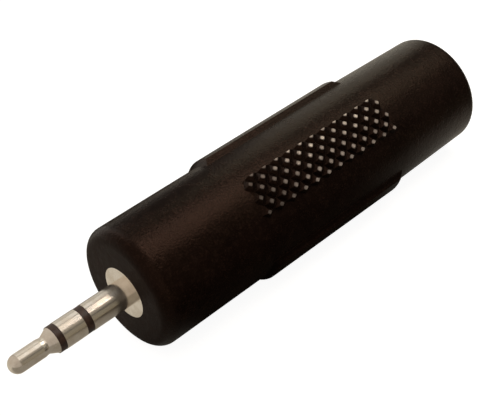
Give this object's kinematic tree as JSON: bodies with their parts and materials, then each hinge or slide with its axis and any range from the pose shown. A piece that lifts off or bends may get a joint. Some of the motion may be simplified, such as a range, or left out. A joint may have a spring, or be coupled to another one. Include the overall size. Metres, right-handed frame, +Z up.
{
  "type": "audio plug adapter",
  "caption": "Straight moulded adapter with a small three-contact audio plug at one end, a large audio socket in the other, and plain and knurled grip pads.",
  "frame": {"origin": "centre of the plug's collar face, where the plug seats", "axes": "+X along the barrel from the plug to the socket mouth, +Z up as it lies on its side between a plain and a knurled pad"},
  "size_m": [0.053, 0.0116, 0.0116],
  "materials": {
    "barrel": "moulded, matt near-black with a fine grain",
    "nickel": "bright nickel plate over brass",
    "plug_insulation": "dark brown-black moulded nylon",
    "tag": "tinned brass",
    "washer": "vulcanised fibre",
    "copper": "bare copper",
    "jacket_white": "soft vinyl",
    "jacket_red": "soft vinyl",
    "jacket_black": "soft vinyl",
    "solder": "dull solder",
    "carrier": "moulded, dark grey",
    "spring": "phosphor bronze strip"
  },
  "bodies": {
    "adapter": {"barrel_shell": "barrel", "plug_tip": "nickel", "tip_insulator": "plug_insulation", "plug_ring": "nickel", "ring_insulator": "plug_insulation", "plug_sleeve": "nickel", "sleeve_tag": "tag", "sleeve_washer": "washer", "ring_tag": "tag", "ring_washer": "washer", "tip_tag": "tag", "tip_wire": "copper", "tip_wire_jacket": "jacket_white", "ring_wire": "copper", "ring_wire_jacket": "jacket_red", "sleeve_wire": "copper", "sleeve_wire_jacket": "jacket_black", "solder_joints": "solder", "contact_carrier": "carrier", "sleeve_strip": "tag", "socket_bushing": "nickel"},
    "tip_contact": {"tip_spring": "spring"},
    "ring_contact": {"ring_spring": "spring"}
  },
  "joints": [
    {"name": "tip_spring_flex", "type": "hinge", "parent": "adapter", "child": "tip_contact", "pos_m": [0.0077, 0, 0.00385], "axis": [0, -1, 0], "range_deg": [0, 6.5], "stiffness_Nm_per_rad": 0.2},
    {"name": "ring_spring_flex", "type": "hinge", "parent": "adapter", "child": "ring_contact", "pos_m": [0.0077, 0, -0.00385], "axis": [0, 1, 0], "range_deg": [0, 3.9], "stiffness_Nm_per_rad": 0.5}
  ]
}
